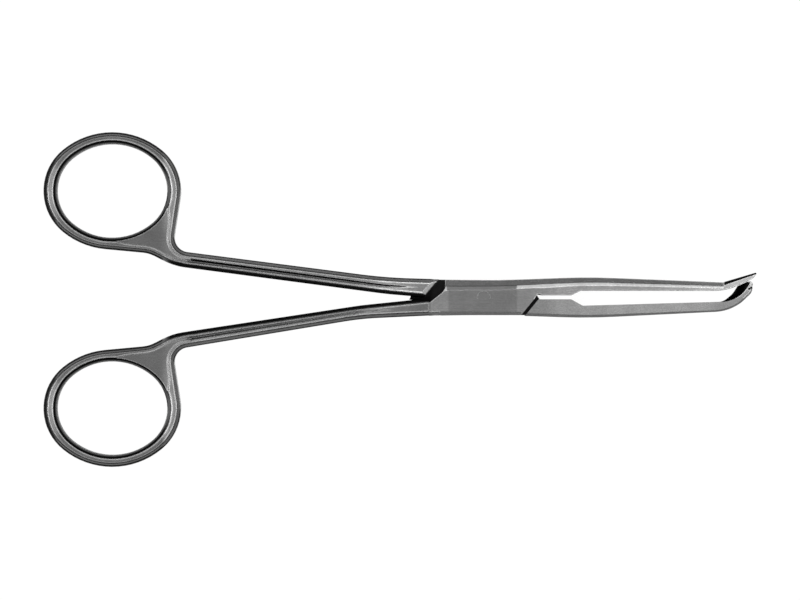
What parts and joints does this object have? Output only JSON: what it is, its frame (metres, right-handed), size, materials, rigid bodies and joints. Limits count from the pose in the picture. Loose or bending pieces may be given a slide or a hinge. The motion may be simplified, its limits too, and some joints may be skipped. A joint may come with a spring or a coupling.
{
  "type": "skin marking forceps",
  "caption": "Straight box-lock forceps with oval finger rings, a long window between the jaws, a pointed upper tip and a hooked, slit lower tip that meets it.",
  "frame": {"origin": "where the axis of the pivot pin meets the underside of the box", "axes": "+X along the instrument from the finger rings to the tips, +Z along the pivot pin, up out of the face shown in the picture, +Y towards the ring of the tongue arm"},
  "size_m": [0.1745, 0.0819, 0.0064],
  "materials": {
    "arm_steel": "fine lengthwise brushing, semi-bright",
    "pin_steel": "ground flush with the satin box face"
  },
  "bodies": {
    "box_arm_body": {"box_arm": "arm_steel", "pivot_pin": "pin_steel"},
    "tongue_arm_body": {"tongue_arm": "arm_steel"}
  },
  "joints": [
    {"name": "box_hinge", "type": "hinge", "parent": "box_arm_body", "child": "tongue_arm_body", "pos_m": [0, 0, 0.0032], "axis": [0, 0, -1], "range_deg": [0, 40]}
  ]
}
